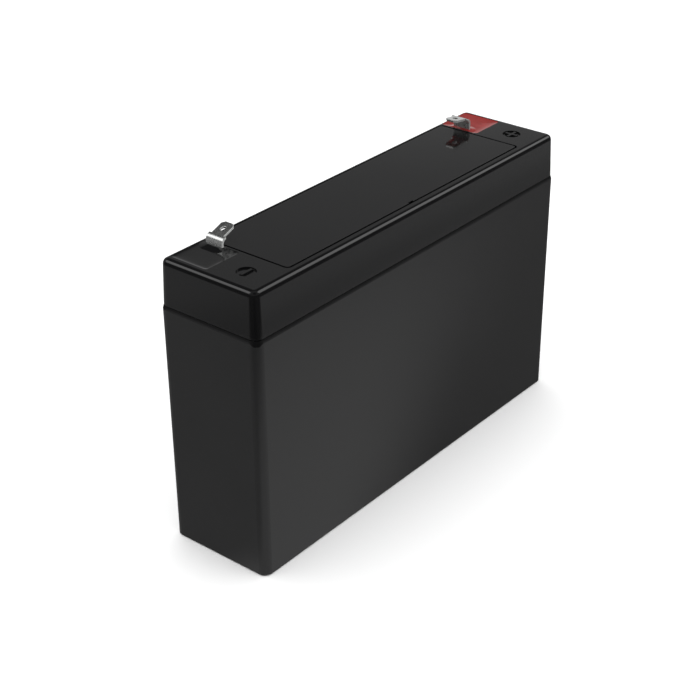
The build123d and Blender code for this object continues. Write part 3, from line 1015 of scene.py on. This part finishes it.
def soft_light(name, place, target, size, power):
    """Soft light that neither the camera nor the glossy faces see."""
    data = bpy.data.lights.new(name, "AREA")
    data.shape = "RECTANGLE"
    data.size, data.size_y = size
    data.energy = power
    light = new_object(name, data)
    light.location = place
    light.rotation_mode = "QUATERNION"
    light.rotation_quaternion = (Vector(target) - Vector(place)).to_track_quat("-Z", "Y")
    light.visible_camera = False
    light.visible_glossy = False


def ground_sheet(name, half_size, material):
    """Square sheet on the ground round the origin."""
    mesh = bpy.data.meshes.new(name)
    corners = ((-1, -1), (1, -1), (1, 1), (-1, 1))
    mesh.from_pydata([(x * half_size, y * half_size, 0.0) for x, y in corners], [], [(0, 1, 2, 3)])
    mesh.materials.append(material)
    sheet = new_object(name, mesh)
    return sheet


def pale_floor(colour):
    """Large plain floor with a very faint unevenness."""
    material, tree, shader, place = new_material("pale_floor")
    tint = mottled(tree, noise(tree, place, 6.0), colour, 0.995, 1.0)
    fill(tree, shader, {"Base Color": tint, "Roughness": 0.9})
    ground_sheet("floor", 6.0, material).visible_glossy = False


def mirrored_floor(stage):
    """What the glossy faces see of the floor: a glowing sheet with a painted shadow, fading to the
    dark studio.
    """
    material = bpy.data.materials.new("mirrored_floor")
    material.use_nodes = True
    tree = material.node_tree
    tree.nodes.clear()
    place = add_node(tree, "ShaderNodeTexCoord").outputs["Object"]
    level = stage.sheet
    # Each zone: a point, the level direction from it, how far on it starts and is full, and its
    # brightness
    zones = (
        # The first zone is the battery's shadow on the floor, painted into the glow
        ((0.0, -0.03), (0.45, 0.893), -0.014, 0.018, 0.16),
        ((0.0, -0.115), (0.0, -1.0), 0.0, 0.025, 0.28),
        ((0.0, -0.145), (0.0, -1.0), 0.0, 0.015, 0.4),
        ((-0.0755, -0.019), (-0.65, 0.76), 0.0, 0.018, 0.22),
        ((-0.2, 0.12), (-0.6, 0.8), -0.01, 0.04, 0.33),
        ((-0.0755, -0.019), (-0.7714, -0.6363), 0.06, 0.13, 0.03),
        ((0.0, -0.168), (0.0, -1.0), 0.0, 0.035, stage.dark),
        ((-0.235, 0.0), (-1.0, 0.0), 0.0, 0.04, stage.dark),
    )
    for start, towards, near, far, shine in zones:
        offset = vector_math(tree, "SUBTRACT", place, (*start, 0))
        distance = measure_vector(tree, "DOT_PRODUCT", offset, (*Vector(towards).normalized(), 0))
        level = blend_levels(tree, smooth_share(tree, distance, near, far), level, shine)
    glow = result(tree, "ShaderNodeEmission", {"Strength": level})
    add_node(tree, "ShaderNodeOutputMaterial", {"Surface": glow})
    sheet = ground_sheet("mirrored_floor", 3.0, material)
    for kind in ("camera", "diffuse", "shadow", "transmission", "volume_scatter"):
        setattr(sheet, f"visible_{kind}", False)


def studio_room(scene, stage):
    """Even room light, and for reflections a paper backdrop, soft boxes and a dark studio."""
    world = bpy.data.worlds.new("studio_room")
    world.use_nodes = True
    scene.world = world
    tree = world.node_tree
    tree.nodes.clear()
    aim = add_node(tree, "ShaderNodeTexCoord").outputs["Generated"]
    # Each zone: its direction, the degrees off it where it starts and is full, and its brightness
    zones = (
        ((0.22, 0.61, 0.76), 18, 14, stage.dark),
        ((0.5, 0.48, 0.72), 17, 12, stage.dark),
        ((0.66, 0.2, 0.72), 16, 10, stage.dark),
        ((-0.29, -0.4, 0.84), 28, 16, stage.dark),
        ((0.8, 0.6, 0.03), 21.3, 10, 1.0),
        ((0.677, -0.36, 0.64), 18, 14, stage.softbox),
        ((-0.43, 0.61, 0.66), 17, 13, stage.softbox),
    )
    # The dark studio lies low, on the side towards the photographer
    low = spread(tree, components(tree, aim)[2], 1.0, 0.0, 0.3, 0.42)
    nearness = measure_vector(tree, "DOT_PRODUCT", aim, (-0.656, -0.755, 0.0))
    near = spread(tree, nearness, 0.0, 1.0, -0.45, -0.2)
    level = spread(tree, calculate(tree, "MULTIPLY", low, near), stage.sky, stage.dark, 0.0, 1.0)
    for towards, outer, inner, shine in zones:
        closeness = measure_vector(tree, "DOT_PRODUCT", aim, Vector(towards).normalized())
        start, full = (math.cos(math.radians(angle)) for angle in (outer, inner))
        level = blend_levels(tree, smooth_share(tree, closeness, start, full), level, shine)
    glossy = add_node(tree, "ShaderNodeLightPath").outputs["Is Glossy Ray"]
    chosen = blend_levels(tree, glossy, stage.room, level)
    background = result(tree, "ShaderNodeBackground", {"Strength": chosen})
    add_node(tree, "ShaderNodeOutputWorld", {"Surface": background})


class BATTERY_OT_stage(bpy.types.Operator):
    """Set up the pale floor, the soft lights and the camera"""

    bl_idname = "battery.stage"
    bl_label = "Set up studio"

    def execute(self, context):
        scene = context.scene
        stage = scene.battery_stage
        middle = (CAD_LOW + CAD_HIGH) / 2
        pale_floor(scene.battery_colours.floor)
        mirrored_floor(stage)
        studio_room(scene, stage)
        soft_light("overhead_light", (0.0, 0.1, 0.9), middle, (0.8, 0.8), stage.overhead)
        soft_light("front_light", (0.2, -0.7, 0.5), middle, (0.5, 0.5), stage.front)
        lens = bpy.data.cameras.new("camera")
        lens.sensor_width = 36.0
        lens.lens = stage.lens
        lens.clip_start, lens.clip_end = 0.01, 50.0
        camera = new_object("camera", lens)
        azimuth, elevation = stage.camera_azimuth, stage.camera_elevation
        ahead = Vector((
            -math.sin(azimuth) * math.cos(elevation),
            math.cos(azimuth) * math.cos(elevation), -math.sin(elevation)))
        camera.location = stage.camera_place
        camera.rotation_mode = "QUATERNION"
        camera.rotation_quaternion = (
            ahead.to_track_quat("-Z", "Y") @ Quaternion((0, 0, 1), stage.camera_roll))
        scene.camera = camera
        scene.view_settings.view_transform = "Standard"
        return {"FINISHED"}


class BATTERY_PT_panel(bpy.types.Panel):
    """Sidebar panel with a button for each group of pieces"""

    bl_label = "Sealed lead acid battery"
    bl_idname = "BATTERY_PT_panel"
    bl_space_type = "VIEW_3D"
    bl_region_type = "UI"
    bl_category = "Battery"

    def draw(self, context):
        for operator in OPERATORS:
            self.layout.operator(operator.bl_idname)


OPERATORS = (
    BATTERY_OT_case, BATTERY_OT_signs, BATTERY_OT_tabs, BATTERY_OT_resin, BATTERY_OT_cells,
    BATTERY_OT_stage,
)


CLASSES = (*PROPERTY_GROUPS.values(), *OPERATORS, BATTERY_PT_panel)


def register():
    for made in CLASSES:
        bpy.utils.register_class(made)
    for name, group in PROPERTY_GROUPS.items():
        setattr(bpy.types.Scene, name, PointerProperty(type=group))


def unregister():
    for name in PROPERTY_GROUPS:
        delattr(bpy.types.Scene, name)
    for made in reversed(CLASSES):
        bpy.utils.unregister_class(made)


def main():
    """Builds every piece and the studio."""
    register()
    bpy.ops.battery.case()
    bpy.ops.battery.signs()
    bpy.ops.battery.tabs()
    bpy.ops.battery.resin()
    bpy.ops.battery.cells()
    bpy.ops.battery.stage()


if __name__ == "__main__":
    main()
